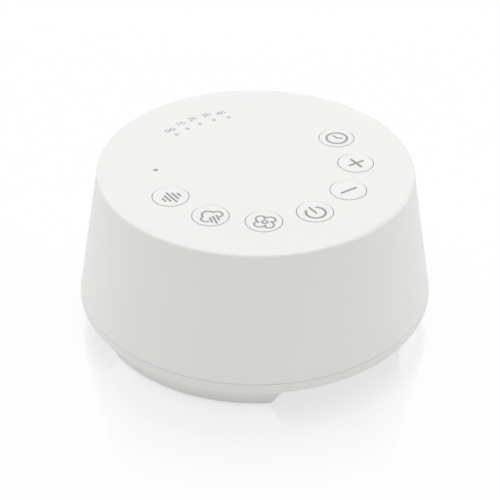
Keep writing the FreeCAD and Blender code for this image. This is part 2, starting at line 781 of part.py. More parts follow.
# An inverted cup with a flange that stops under its collar and a stem that meets the switch.
def keyCap(label):
    face = "(dims.caseHeight + dims.keyProud)"
    underFace = f"({face} - dims.keyFaceWall)"
    flangeLow = f"({flangeTop} - dims.keyFlangeHeight)"
    skirtInner = "(dims.keyRadius - dims.keySkirtWall)"
    flangeRadius = "(dims.keyRadius + dims.keyFlange)"
    return revolvedBody(label, [
        ("0", f"({switchTop} + dims.plungerRise)"),
        ("dims.keyStemRadius", f"({switchTop} + dims.plungerRise)"),
        ("dims.keyStemRadius", underFace),
        (skirtInner, underFace),
        (skirtInner, flangeLow),
        (flangeRadius, flangeLow),
        (flangeRadius, flangeTop),
        ("dims.keyRadius", flangeTop),
        ("dims.keyRadius", face, "dims.keyEdgeRound"),
        ("0", face),
    ])


def plunger(label):
    return revolvedBody(label, [
        ("0", f"({switchTop} - dims.plungerSeat)"),
        ("dims.plungerRadius", f"({switchTop} - dims.plungerSeat)"),
        ("dims.plungerRadius", f"({switchTop} + dims.plungerRise)"),
        ("0", f"({switchTop} + dims.plungerRise)"),
    ])


def keySwitches():
    body = newBody("key_switches")
    plan = sketchOn(body, "switch_plan", "XY_Plane", z=boardTop)
    x, y = around("dims.keyRing", "dims.keyFirstAngle")
    half = "dims.switchSide / 2"
    rectangle(plan, f"({x} - {half})", f"({x} + {half})", f"(-{half})", f"({half})")
    case = feature(body, "Pad", "switch_case", plan, Length="dims.switchHeight")
    holePlan = sketchOn(body, "switch_hole_plan", "XY_Plane", z=switchTop)
    circle(holePlan, x, "0", "(dims.plungerRadius + dims.plungerGap)")
    holeDepth = "dims.plungerSeat + dims.plungerDepth"
    hole = feature(body, "Pocket", "switch_hole", holePlan, Length=holeDepth)
    patterned(body, "switch_ring", [case, hole], "dims.keySpan", "dims.keyCount")


# Main board and what is on it

def mainBoard():
    body = newBody("main_board")
    plan = sketchOn(body, "board_plan", "XY_Plane", z="dims.boardHeight")
    circle(plan, "0", "0", "dims.boardRadius")
    for x, y in boardBossPlaces():
        circle(plan, x, y, "(dims.boardScrewRadius + dims.screwGap)")
    feature(body, "Pad", "board_pad", plan, Length="dims.boardWall")

    under = "(dims.boardHeight - dims.chipHeight)"
    block("controller", "dims.chipSide", "dims.chipSide", "dims.chipHeight", "0", "dims.chipPlaceY", under)

    capacitors = newBody("board_capacitors")
    capacitorLow = "(dims.boardHeight - dims.capacitorLength)"
    plan = sketchOn(capacitors, "capacitor_plan", "XY_Plane", z=capacitorLow)
    for step in range(int(value("dims.capacitorCount"))):
        angle = f"(dims.capacitorAngle + {step} * dims.capacitorStepAngle)"
        circle(plan, *around("dims.capacitorRing", angle), "dims.capacitorRadius")
    feature(capacitors, "Pad", "capacitor_cans", plan, Length="dims.capacitorLength")

    plugs = newBody("board_plugs")
    plan = sketchOn(plugs, "plug_plan", "XY_Plane", z="(dims.boardHeight - dims.plugHeight)")
    depth = "dims.plugDepth / 2"
    width = "dims.plugWidth / 2"
    for side in ("", "-"):
        middle = f"{side}dims.plugRing"
        rectangle(plan, f"({middle} - {depth})", f"({middle} + {depth})", f"(-{width})", f"({width})")
    rectangle(plan, f"(-{width})", f"({width})", f"(dims.plugRing - {depth})", f"(dims.plugRing + {depth})")
    feature(plugs, "Pad", "plug_housings", plan, Length="dims.plugHeight")


def lights():
    timerLeds = newBody("timer_leds")
    plan = sketchOn(timerLeds, "timer_led_plan", "XY_Plane", z=boardTop)
    half = "dims.ledSide / 2"
    rectangle(plan, f"(-{half})", f"({half})", f"(dims.lightRing - {half})", f"(dims.lightRing + {half})")
    led = feature(timerLeds, "Pad", "timer_led", plan, Length="dims.ledHeight")
    patterned(timerLeds, "timer_led_row", [led], "dims.lightSpan", "dims.lightCount")
    spun(timerLeds, "(dims.lightFirstAngle - 90)")

    statusX, statusY = around("dims.statusRing", "dims.statusAngle")
    block("status_led", "dims.ledSide", "dims.ledSide", "dims.ledHeight", statusX, statusY, boardTop)

    guideLow = f"({ledTop} + dims.guideGap)"
    guideTop = f"({ceiling} - dims.guideGap)"
    pinRadius = "(dims.lightHoleRadius - dims.lightFit)"
    guide = newBody("timer_light_guide")
    section = sketchOn(guide, "guide_section", "XZ_Plane")
    rectangle(
        section, "(dims.lightRing - dims.guideWall / 2)", "(dims.lightRing + dims.guideWall / 2)",
        f"({guideTop} - dims.guideBarHeight)", guideTop,
    )
    turned(guide, "Revolution", "guide_bar", section, "dims.lightSpan + 2 * dims.guideEndAngle")
    firstLight = around("dims.lightRing", "(-dims.lightSpan / 2)")
    columnPlan = sketchOn(guide, "guide_column_plan", "XY_Plane", z=guideLow)
    circle(columnPlan, *firstLight, "dims.guideWall / 2")
    column = feature(guide, "Pad", "guide_column", columnPlan, Length=f"{guideTop} - {guideLow}")
    pinPlan = sketchOn(guide, "guide_pin_plan", "XY_Plane", z=guideTop)
    circle(pinPlan, *firstLight, pinRadius)
    guidePin = feature(guide, "Pad", "guide_pin", pinPlan, Length="dims.topWall + dims.guideGap")
    patterned(guide, "guide_columns", [column, guidePin], "dims.lightSpan", "dims.lightCount")
    spun(guide, "(dims.lightFirstAngle + dims.lightSpan / 2)")

    statusGuide = revolvedBody("status_light_guide", [
        ("0", guideLow),
        ("dims.guideWall / 2", guideLow),
        ("dims.guideWall / 2", guideTop),
        (pinRadius, guideTop),
        (pinRadius, "dims.caseHeight"),
        ("0", "dims.caseHeight"),
    ])
    moved(statusGuide, statusX, statusY)


# Loudspeaker, facing down on its gasket

def speaker():
    face = speakerFace
    flangeInner = speakerFlangeInner
    revolvedBody("speaker_gasket", [
        ("(dims.speakerRadius - dims.gasketWidth)", floorTop),
        ("dims.speakerRadius", floorTop),
        ("dims.speakerRadius", face),
        ("(dims.speakerRadius - dims.gasketWidth)", face),
    ])

    basket = newBody("speaker_basket")
    section = sketchOn(basket, "basket_section", "XZ_Plane")
    outline(section, [
        (flangeInner, face),
        ("dims.speakerRadius", face),
        ("dims.speakerRadius", f"({face} + dims.flangeHeight)"),
        (f"({flangeInner} + dims.basketWall)", f"({face} + dims.flangeHeight)"),
        (f"({flangeInner} + dims.basketWall)", f"({face} + dims.basketStep)"),
        ("dims.basketNeckRadius", plateLow),
        ("dims.basketShelfRadius", plateLow),
        ("dims.basketShelfRadius", f"({plateLow} - dims.basketWall)"),
        ("(dims.basketNeckRadius - dims.basketWall)", f"({plateLow} - dims.basketWall)"),
        (flangeInner, f"({face} + dims.basketStep)"),
    ])
    turned(basket, "Revolution", "basket_turn", section)
    windowPlan = sketchOn(basket, "basket_window_plan", "XZ_Plane", turn="dims.windowAngle")
    halfWindow = "(dims.windowWidth / 2)"
    rectangle(
        windowPlan, f"(-{halfWindow})", halfWindow,
        f"({face} + dims.windowLow)", f"({face} + dims.windowHigh)", "dims.windowRound",
    )
    window = feature(basket, "Pocket", "basket_window", windowPlan, Length="dims.speakerRadius")
    patterned(basket, "basket_windows", [window], 360, "dims.windowCount")
    terminalLow = f"({face} + dims.basketDepth / 2 - dims.terminalHeight / 2)"
    terminalPlan = sketchOn(basket, "terminal_plan", "XY_Plane", z=terminalLow)
    rectangle(
        terminalPlan,
        f"(-{basketWallMiddle} - dims.terminalReach)", f"(-{basketWallMiddle} + dims.terminalSink)",
        "(-dims.terminalWidth / 2)", "(dims.terminalWidth / 2)",
    )
    feature(basket, "Pad", "terminal_board", terminalPlan, Length="dims.terminalHeight")

    surround(face, flangeInner)
    spider()

    coneRim = f"({flangeInner} - 2 * dims.surroundRoll - dims.surroundWall)"
    revolvedBody("speaker_cone", [
        (f"({coneRim} - dims.surroundLip)", face),
        (coneRim, face),
        (coneRim, f"({face} + dims.coneWall)"),
        (f"({coneRim} - dims.surroundLip + dims.coneWall)", f"({face} + dims.coneWall)"),
        ("dims.coilRadius", f"({face} + dims.coneDepth + dims.coneWall)"),
        ("dims.coilRadius", f"({face} + dims.coneDepth)"),
    ])
    coneSlope = f"(dims.coneDepth / ({coneRim} - dims.surroundLip - dims.coilRadius))"
    capSeat = f"({face} + dims.coneDepth - (dims.dustCapRadius - dims.coilRadius) * {coneSlope})"
    revolvedBody("dust_cap", [
        ("0", f"({capSeat} - dims.dustCapDepth)"),
        ("dims.dustCapCrown", f"({capSeat} - dims.dustCapDepth)", "dims.dustCapRound"),
        ("dims.dustCapRadius", f"({capSeat} - dims.coneWall)"),
        ("dims.dustCapRadius", f"({capSeat} - dims.glueGap)"),
        ("dims.dustCapCrown", f"({capSeat} - dims.dustCapDepth + dims.coneWall)", "dims.dustCapRound"),
        ("0", f"({capSeat} - dims.dustCapDepth + dims.coneWall)"),
    ])
    formerLow = f"({face} + dims.coneDepth)"
    formerTop = f"({formerLow} + dims.formerLength)"
    windingRadius = "(dims.coilRadius + dims.windingWall)"
    revolvedBody("voice_coil", [
        ("(dims.coilRadius - dims.formerWall)", formerLow),
        ("dims.coilRadius", formerLow),
        ("dims.coilRadius", f"({formerTop} - dims.windingLength)"),
        (windingRadius, f"({formerTop} - dims.windingLength)"),
        (windingRadius, formerTop),
        ("(dims.coilRadius - dims.formerWall)", formerTop),
    ])
    gapOuter = "(dims.coilRadius + dims.windingWall + dims.coilGap)"
    revolvedBody("front_plate", [
        (gapOuter, plateLow),
        ("dims.plateRadius", plateLow),
        ("dims.plateRadius", magnetLow),
        (gapOuter, magnetLow),
    ])
    revolvedBody("speaker_magnet", [
        ("dims.magnetBore", magnetLow),
        ("dims.plateRadius", magnetLow, "dims.magnetRound"),
        ("dims.plateRadius", backPlateLow, "dims.magnetRound"),
        ("dims.magnetBore", backPlateLow),
    ])
    poleRadius = "(dims.coilRadius - dims.formerWall - dims.coilGap)"
    revolvedBody("back_plate", [
        ("0", plateLow),
        (poleRadius, plateLow),
        (poleRadius, backPlateLow),
        ("dims.plateRadius", backPlateLow),
        ("dims.plateRadius", speakerTop, "dims.magnetRound"),
        ("0", speakerTop),
    ])


# The half roll between the cone and the basket, with a lip to glue at each edge.
def surround(face, flangeInner):
    low = f"({face} - dims.surroundWall)"
    rollInner = f"({flangeInner} - 2 * dims.surroundRoll)"
    wall = "dims.surroundWall"
    crown = f"({low} + dims.surroundRoll)"
    bend = "dims.surroundRound"
    glue = "dims.glueGap"
    revolvedBody("speaker_surround", [
        (f"({rollInner} - {wall} - dims.surroundLip)", low),
        (rollInner, low),
        (rollInner, crown, bend),
        (f"({flangeInner} - {wall})", crown, bend),
        (f"({flangeInner} - {wall})", low),
        (f"({flangeInner} + dims.surroundLip)", low),
        (f"({flangeInner} + dims.surroundLip)", face),
        (f"({flangeInner} - {glue})", face),
        (f"({flangeInner} - {glue})", f"({crown} + {wall})", f"({bend} + {wall})"),
        (f"({rollInner} - {wall} + {glue})", f"({crown} + {wall})", f"({bend} + {wall})"),
        (f"({rollInner} - {wall} + {glue})", face),
        (f"({rollInner} - {wall} - dims.surroundLip)", face),
    ])


# The corrugated disc that centres the coil, its waves worked out from their number.
def spider():
    outer = "(dims.basketNeckRadius - dims.basketWall - dims.speakerFit)"
    inner = "(dims.coilRadius + dims.glueGap)"
    top = f"({plateLow} - dims.basketWall)"
    waves = int(value("dims.spiderTurns")) * 2
    shelf = "dims.basketShelfRadius"
    lowSide = []
    topSide = []
    for index in range(waves + 1):
        radius = f"({inner} + ({shelf} - {inner}) * ({index} / {waves}))"
        drop = "dims.spiderWave" if index % 2 == 0 else "2 * dims.spiderWave"
        topSide.append((radius, f"({top} - {drop} + dims.spiderWave)"))
        lowSide.append((radius, f"({top} - {drop} + dims.spiderWave - dims.surroundWall)"))
    rim = [(outer, f"({top} - dims.surroundWall)"), (outer, top)]
    revolvedBody("speaker_spider", lowSide + rim + topSide[::-1])


# Rechargeable cell on foam tape above the magnet, and the power board at the back wall

def power():
    block(
        "cell_tape", "dims.tapeSide", "dims.tapeSide", "dims.tapeHeight", "0", "0", speakerTop,
        "dims.tapeRound",
    )
    block(
        "battery_cell", "dims.cellLength", "dims.cellWidth", "dims.cellHeight", "0", "0", cellLow,
        "dims.cellRound",
    )

    board = newBody("power_board")
    plan = sketchOn(board, "power_board_plan", "XY_Plane", z=powerBoardLow)
    half = "(dims.powerBoardWidth / 2)"
    rectangle(plan, f"(-{half})", half, powerBoardFront, powerBoardBack)
    for x, y in powerPostPlaces():
        circle(plan, x, y, "(dims.boardScrewRadius + dims.screwGap)")
    feature(board, "Pad", "power_board_pad", plan, Length="dims.powerBoardWall")

    mouth = f"({outerAt(portHeight)} - dims.portRecess - dims.socketInset)"
    rear = f"({mouth} - dims.socketLength)"
    shell = newBody("port_shell")
    sleeve = socketOutline(shell, "port_sleeve", "0", rear)
    feature(shell, "Pad", "port_sleeve_pad", sleeve, Length="dims.socketLength", Reversed=True)
    bore = socketOutline(shell, "port_bore", "(-dims.socketWall)", f"({rear} + dims.socketBack)")
    feature(shell, "Pocket", "port_bore_cut", bore, Length="dims.socketLength")

    tongue = newBody("port_tongue")
    plan = sketchOn(tongue, "tongue_outline", "XZ_Plane", z=f"(-{rear} - dims.socketBack)")
    halfWidth = "(dims.tongueWidth / 2)"
    halfHeight = "(dims.tongueHeight / 2)"
    low = f"({portHeight} - {halfHeight})"
    high = f"({portHeight} + {halfHeight})"
    rectangle(plan, f"(-{halfWidth})", halfWidth, low, high)
    feature(tongue, "Pad", "tongue_pad", plan, Length="dims.tongueLength", Reversed=True)

    block(
        "power_plug", "dims.plugWidth", "dims.plugDepth", "dims.plugHeight", "0", powerPlugPlace,
        powerBoardTop,
    )


# Inner leads: two wires side by side along straight runs joined by tangent arcs

def leadWire(points, radius):
    share = value("dims.bendShare")
    edges = []
    start = points[0]
    for before, corner, after in zip(points, points[1:], points[2:]):
        toBefore = before - corner
        toAfter = after - corner
        reach = share * min(toBefore.Length, toAfter.Length)
        half = toBefore.getAngle(toAfter) / 2
        toBefore.normalize()
        toAfter.normalize()
        first = corner + toBefore * reach
        last = corner + toAfter * reach
        bend = reach * math.tan(half)
        middle = corner + (toBefore + toAfter).normalize() * (bend / math.sin(half) - bend)
        edges.append(Part.makeLine(start, first))
        edges.append(Part.Arc(first, middle, last).toShape())
        start = last
    edges.append(Part.makeLine(start, points[-1]))
    path = Part.Wire(edges)
    direction = points[1] - points[0]
    profile = Part.Wire([Part.makeCircle(radius, points[0], direction)])
    return path.makePipeShell([profile], True, False)


def lead(label, route, side):
    spread = value("dims.wireSpread")
    radius = value("dims.wireRadius")
    wires = []
    for offset in (-spread, spread):
        points = [Vector(*[value(number) for number in point]) + side * offset for point in route]
        wires.append(leadWire(points, radius))
    item = doc.addObject("Part::Feature", label)
    item.Shape = Part.makeCompound(wires)
    item.Placement = Placement()
    return register(item, label)


def leads():
    plugLow = "(dims.boardHeight - dims.plugHeight)"
    powerPlugTop = f"({powerBoardTop} + dims.plugHeight)"
    rise = f"({plugLow} - {powerPlugTop})"
    lead("power_lead", [
        ("0", powerPlugPlace, powerPlugTop),
        ("0", powerPlugPlace, f"({powerPlugTop} + {rise} * dims.crossStartShare)"),
        ("0", "dims.plugRing", f"({powerPlugTop} + {rise} * dims.crossEndShare)"),
        ("0", "dims.plugRing", plugLow),
    ], Vector(1, 0, 0))
    cellLeadHeight = f"({cellLow} + dims.wireRadius + dims.wireLift)"
    lead("battery_lead", [
        ("(dims.cellLength / 2)", "0", cellLeadHeight),
        ("dims.plugRing", "0", cellLeadHeight),
        ("dims.plugRing", "0", plugLow),
    ], Vector(0, 1, 0))
    terminalHeight = f"({speakerFace} + dims.basketDepth / 2)"
    lead("speaker_lead", [
        (f"(-{basketWallMiddle} - dims.terminalReach)", "0", terminalHeight),
        ("(-dims.plugRing)", "0", terminalHeight),
        ("(-dims.plugRing)", "0", plugLow),
    ], Vector(0, 1, 0))


topShell()
baseShell()
footPads()
screws()
keys()
keySwitches()
mainBoard()
lights()
speaker()
power()
doc.recompute()
leads()
doc.recompute()

faults = [item.Name for item in doc.Objects if "Invalid" in item.State or "Error" in item.State]
if faults:
    raise RuntimeError("features that failed: " + ", ".join(faults))

os.makedirs("parts", exist_ok=True)
for part in parts:
    shape = part.Shape
    if shape.isNull() or not shape.isValid():
        raise RuntimeError("no valid solid: " + part.Label)
    print(f"{part.Label}: {len(shape.Solids)} solids, {shape.Volume:.1f} mm3")
for part in parts:
    part.Shape.exportStep(f"parts/{part.Label}.step")
print(f"{len(parts)} pieces written")
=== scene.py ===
import bpy
import bmesh
import math
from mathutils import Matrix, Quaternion, Vector


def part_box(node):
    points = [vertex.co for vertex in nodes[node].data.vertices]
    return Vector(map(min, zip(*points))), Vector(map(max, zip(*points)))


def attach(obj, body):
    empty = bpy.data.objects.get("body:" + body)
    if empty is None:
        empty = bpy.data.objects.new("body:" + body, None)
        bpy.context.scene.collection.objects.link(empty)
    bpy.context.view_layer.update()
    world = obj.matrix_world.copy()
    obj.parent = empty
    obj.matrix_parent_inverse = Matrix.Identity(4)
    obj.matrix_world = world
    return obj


# White noise sound machine: the finish of every surface, the printed symbols on the keys, the labels
# of the timer lights, and a studio with a white floor. Metres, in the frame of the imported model.

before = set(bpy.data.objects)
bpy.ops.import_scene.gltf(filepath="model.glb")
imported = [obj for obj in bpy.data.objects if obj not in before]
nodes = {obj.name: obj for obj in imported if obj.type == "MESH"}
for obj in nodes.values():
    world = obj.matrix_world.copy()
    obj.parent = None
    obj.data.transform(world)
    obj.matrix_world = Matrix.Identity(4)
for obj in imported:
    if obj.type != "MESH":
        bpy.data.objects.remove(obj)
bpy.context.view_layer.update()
mm = 0.001
print("frame loaded:", len(nodes), "nodes")


# Camera, at the photograph's viewing angle

photoView = {
    "imageSide": 500,
    "lens": 124.7,
    "sensor": 36.0,
    "distance": 542.5 * mm,
    "azimuth": -34.7,
    "elevation": 34.21,
    "roll": 0.47,
    "targetHeight": 21.56 * mm,
    "axisColumn": 255.07,
    "clipNear": 50 * mm,
    "clipFar": 20000 * mm,
}


# The direction from the object's middle at a bearing from -Y and a rise above the floor, in degrees.
def direction(bearing, rise):
    turn = math.radians(bearing)
    lift = math.radians(rise)
    return Vector((math.sin(turn) * math.cos(lift), -math.cos(turn) * math.cos(lift), math.sin(lift)))


def makeCamera():
    spec = photoView
    back = direction(spec["azimuth"], spec["elevation"])
    data = bpy.data.cameras.new("photoCamera")
    data.lens = spec["lens"]
    data.sensor_width = spec["sensor"]
    data.clip_start = spec["clipNear"]
    data.clip_end = spec["clipFar"]
    data.shift_x = (spec["imageSide"] / 2 - spec["axisColumn"]) / spec["imageSide"]
    camera = bpy.data.objects.new("photoCamera", data)
    camera.location = Vector((0, 0, spec["targetHeight"])) + back * spec["distance"]
    camera.rotation_mode = "QUATERNION"
    level = (-back).to_track_quat("-Z", "Y")
    camera.rotation_quaternion = level @ Quaternion((0, 0, 1), math.radians(spec["roll"]))
    bpy.context.scene.collection.objects.link(camera)
    bpy.context.scene.camera = camera


makeCamera()
bpy.context.scene.view_settings.view_transform = "Standard"
print("camera made")


# A small wrapper round a node tree: it adds nodes from left to right and links their sockets.

nodeStep = 190


class Graph:
    def __init__(self, tree):
        self.tree = tree
        self.column = 0

    def add(self, kind, settings=None, inputs=None):
        node = self.tree.nodes.new(kind)
        node.location = (self.column * nodeStep, 0)
        self.column += 1
        for key, setting in (settings or {}).items():
            setattr(node, key, setting)
        for key, source in (inputs or {}).items():
            self.feed(node.inputs[key], source)
        return node

    def feed(self, socket, source):
        if isinstance(source, bpy.types.NodeSocket):
            self.tree.links.new(source, socket)
        else:
            socket.default_value = source

    def math(self, operation, first, second=0.0):
        node = self.add("ShaderNodeMath", {"operation": operation}, {0: first, 1: second})
        return node.outputs[0]

    def spread(self, source, low, high, toLow=0.0, toHigh=1.0):
        ends = {"Value": source, "From Min": low, "From Max": high, "To Min": toLow, "To Max": toHigh}
        return self.add("ShaderNodeMapRange", None, ends).outputs["Result"]

    def mix(self, factor, first, second):
        node = self.add("ShaderNodeMix", {"data_type": "RGBA"}, {0: factor, 6: first, 7: second})
        return node.outputs[2]

    def noise(self, place, scale, detail=2.0, roughness=0.5):
        inputs = {"Vector": place, "Scale": scale, "Detail": detail, "Roughness": roughness}
        return self.add("ShaderNodeTexNoise", None, inputs).outputs["Fac"]


def newGroup(name, inputs, outputs):
    tree = bpy.data.node_groups.new(name, "ShaderNodeTree")
    for label, kind, default in inputs:
        socket = tree.interface.new_socket(name=label, in_out="INPUT", socket_type=kind)
        socket.default_value = default
    for label, kind in outputs:
        tree.interface.new_socket(name=label, in_out="OUTPUT", socket_type=kind)
    graph = Graph(tree)
    return graph, graph.add("NodeGroupInput")


def closeGroup(graph, results):
    end = graph.add("NodeGroupOutput")
    for label, source in results.items():
        graph.feed(end.inputs[label], source)
    return graph.tree


# Shared effects: the fine spark grain of moulded plastic, soft tone drift with edge wear, and painted shade
# in narrow gaps

grainShape = {
    "fineDetail": 3.0,
    "fineRoughness": 0.6,
    "coarseScale": 0.31,
    "coarseShare": 0.6,
    "patchScale": 60.0,
    "patchDetail": 3.0,
    "patchShare": 0.6,
    "fineShare": 0.4,
    "blendLow": 0.25,
    "blendHigh": 0.75,
}
toneShape = {
    "cloudDetail": 3.0,
    "cloudRoughness": 0.55,
    "cloudLow": 0.35,
    "cloudHigh": 0.65,
    "bevelSamples": 4,
    "edgeLow": 0.005,
    "edgeHigh": 0.22,
    "scuffScale": 900.0,
    "scuffDetail": 4.0,
    "scuffRoughness": 0.65,
    "scuffLow": 0.35,
    "scuffHigh": 0.7,
}
# Painted shade for narrow gaps: how closed in a gap must be to get it, and the dark colour mixed in
paintedShadeShape = {"samples": 8, "fullShadeBelow": 0.2, "noShadeAbove": 0.6, "shadeColour": (0.03, 0.026, 0.022, 1.0)}


def makeGrainGroup():
    shape = grainShape
    graph, start = newGroup(
        "mouldGrain",
        [
            ("Grain Scale", "NodeSocketFloat", 2600.0),
            ("Grain Depth", "NodeSocketFloat", 0.00001),
            ("Low Roughness", "NodeSocketFloat", 0.4),
            ("High Roughness", "NodeSocketFloat", 0.5),
        ],
        [("Normal", "NodeSocketVector"), ("Roughness", "NodeSocketFloat")],
    )
    place = graph.add("ShaderNodeTexCoord").outputs["Object"]
    fine = graph.noise(place, start.outputs["Grain Scale"], shape["fineDetail"], shape["fineRoughness"])
    coarseScale = graph.math("MULTIPLY", start.outputs["Grain Scale"], shape["coarseScale"])
    coarse = graph.noise(place, coarseScale)
    height = graph.math("ADD", fine, graph.math("MULTIPLY", coarse, shape["coarseShare"]))
    bump = graph.add(
        "ShaderNodeBump", None,
        {"Strength": 1.0, "Distance": start.outputs["Grain Depth"], "Height": height},
    )
    patch = graph.noise(place, shape["patchScale"], shape["patchDetail"])
    patchPart = graph.math("MULTIPLY", patch, shape["patchShare"])
    finePart = graph.math("MULTIPLY", fine, shape["fineShare"])
    rough = graph.spread(
        graph.math("ADD", patchPart, finePart),
        shape["blendLow"], shape["blendHigh"],
        start.outputs["Low Roughness"], start.outputs["High Roughness"],
    )
    return closeGroup(graph, {"Normal": bump.outputs["Normal"], "Roughness": rough})


def makeToneGroup():
    shape = toneShape
    graph, start = newGroup(
        "toneDrift",
        [
            ("Base", "NodeSocketColor", (0.8, 0.8, 0.8, 1.0)),
            ("Drift", "NodeSocketColor", (0.8, 0.8, 0.8, 1.0)),
            ("Worn", "NodeSocketColor", (0.9, 0.9, 0.9, 1.0)),
            ("Drift Scale", "NodeSocketFloat", 35.0),
            ("Wear", "NodeSocketFloat", 0.3),
            ("Edge Width", "NodeSocketFloat", 0.0004),
        ],
        [("Color", "NodeSocketColor")],
    )
    place = graph.add("ShaderNodeTexCoord").outputs["Object"]
    cloud = graph.noise(place, start.outputs["Drift Scale"], shape["cloudDetail"], shape["cloudRoughness"])
    drift = graph.spread(cloud, shape["cloudLow"], shape["cloudHigh"])
    tone = graph.mix(drift, start.outputs["Base"], start.outputs["Drift"])
    bevelWidth = {"Radius": start.outputs["Edge Width"]}
    rounded = graph.add("ShaderNodeBevel", {"samples": shape["bevelSamples"]}, bevelWidth)
    plain = graph.add("ShaderNodeNewGeometry").outputs["Normal"]
    alike = graph.add("ShaderNodeVectorMath", {"operation": "DOT_PRODUCT"}, {0: rounded.outputs[0], 1: plain})
    turned = graph.math("SUBTRACT", 1.0, alike.outputs["Value"])
    edge = graph.spread(turned, shape["edgeLow"], shape["edgeHigh"])
    marks = graph.noise(place, shape["scuffScale"], shape["scuffDetail"], shape["scuffRoughness"])
    scuffs = graph.spread(marks, shape["scuffLow"], shape["scuffHigh"])
    amount = graph.math("MULTIPLY", graph.math("MULTIPLY", edge, scuffs), start.outputs["Wear"])
    return closeGroup(graph, {"Color": graph.mix(amount, tone, start.outputs["Worn"])})


# Painted shade: narrow gaps between pieces, such as the seam and the rings round the keys, get a darker
# colour where ambient occlusion finds them closed in, in place of the shade that falls there.
def makePaintedShadeGroup():
    shape = paintedShadeShape
    graph, start = newGroup(
        "paintedGapShade",
        [
            ("Color", "NodeSocketColor", (0.8, 0.8, 0.8, 1.0)),
            ("Shade", "NodeSocketFloat", 0.85),
            ("Reach", "NodeSocketFloat", 0.0008),
        ],
        [("Color", "NodeSocketColor")],
    )
    reach = {"Distance": start.outputs["Reach"]}
    nearby = graph.add("ShaderNodeAmbientOcclusion", {"samples": shape["samples"]}, reach)
    closed = graph.spread(nearby.outputs["AO"], shape["fullShadeBelow"], shape["noShadeAbove"], 1.0, 0.0)
    amount = graph.math("MULTIPLY", closed, start.outputs["Shade"])
    return closeGroup(graph, {"Color": graph.mix(amount, start.outputs["Color"], shape["shadeColour"])})


grainGroup = makeGrainGroup()
toneGroup = makeToneGroup()
paintedShadeGroup = makePaintedShadeGroup()


def plainColour(red, green, blue):
    return (red, green, blue, 1.0)


finishDefaults = {
    "driftScale": 35.0,
    "wear": 0.3,
    "edgeWidth": 0.35 * mm,
    "grainScale": 2600.0,
    "grainDepth": 0.012 * mm,
    "metallic": 0.0,
    "ior": 1.46,
}
driftShare = 0.96
wornShare = 1.06


# A moulded, printed or plated surface: tone drift, worn edges, fine grain, roughness that varies, and painted
# shade in narrow gaps where the spec asks for it.
def makeFinish(name, ownSpec):
    spec = {**finishDefaults, **ownSpec}
    material = bpy.data.materials.new(name)
    material.use_nodes = True
    tree = material.node_tree
    tree.nodes.clear()
    graph = Graph(tree)
    base = spec["base"]
    tone = graph.add("ShaderNodeGroup", {"node_tree": toneGroup}, {
        "Base": plainColour(*base),
        "Drift": plainColour(*spec.get("drift", [part * driftShare for part in base])),
        "Worn": plainColour(*spec.get("worn", [min(1.0, part * wornShare) for part in base])),
        "Drift Scale": spec["driftScale"],
        "Wear": spec["wear"],
        "Edge Width": spec["edgeWidth"],
    })
    low, high = spec["roughness"]
    grain = graph.add("ShaderNodeGroup", {"node_tree": grainGroup}, {
        "Grain Scale": spec["grainScale"],
        "Grain Depth": spec["grainDepth"],
        "Low Roughness": low,
        "High Roughness": high,
    })
    colour = tone.outputs["Color"]
    # Painted shade: the colour is darkened in narrow gaps such as the seam and the rings round the keys
    if "paintedShade" in spec:
        paintedShade = {"Color": colour, "Shade": spec["paintedShade"], "Reach": spec["paintedShadeReach"]}
        paintedGap = graph.add("ShaderNodeGroup", {"node_tree": paintedShadeGroup}, paintedShade)
        colour = paintedGap.outputs["Color"]
    shader = graph.add("ShaderNodeBsdfPrincipled", None, {
        "Base Color": colour,
        "Roughness": grain.outputs["Roughness"],
        "Normal": grain.outputs["Normal"],
        "Metallic": spec["metallic"],
        "IOR": spec["ior"],
    })
    for socket, setting in spec.get("shader", {}).items():
        shader.inputs[socket].default_value = setting
    graph.add("ShaderNodeOutputMaterial", None, {"Surface": shader.outputs[0]})
    return material


# Cases and keys

whiteCase = {
    "base": (0.845, 0.845, 0.828),
    "drift": (0.836, 0.836, 0.817),
    "worn": (0.88, 0.88, 0.868),
    "roughness": (0.42, 0.55),
    "wear": 0.35,
    # Painted shade in the seam and the rings round the keys, at this strength and reach
    "paintedShade": 0.75,
    "paintedShadeReach": 0.8 * mm,
    "shader": {"Subsurface Weight": 0.08, "Subsurface Scale": 0.0015},
}
whiteBase = dict(whiteCase, base=(0.82, 0.82, 0.8), drift=(0.81, 0.81, 0.79), roughness=(0.45, 0.58))
whiteKey = dict(whiteCase, base=(0.85, 0.85, 0.835), drift=(0.842, 0.842, 0.826), roughness=(0.36, 0.46))
printInk = {
    "base": (0.31, 0.31, 0.304),
    "drift": (0.34, 0.34, 0.332),
    "worn": (0.42, 0.42, 0.41),
    "roughness": (0.5, 0.62),
    "wear": 0.2,
    "grainDepth": 0.004 * mm,
}
lightLens = {
    "base": (0.56, 0.56, 0.55),
    "drift": (0.52, 0.52, 0.51),
    "roughness": (0.2, 0.3),
    "shader": {"Coat Weight": 0.4, "Coat Roughness": 0.1},
}
statusLens = dict(lightLens, base=(0.34, 0.34, 0.33), drift=(0.3, 0.3, 0.29))
padRubber = {
    "base": (0.36, 0.36, 0.36),
    "drift": (0.32, 0.32, 0.32),
    "worn": (0.5, 0.5, 0.5),
    "roughness": (0.75, 0.9),
    "grainScale": 1800.0,
    "grainDepth": 0.03 * mm,
}

# Inside, and what shows through the slots and the port

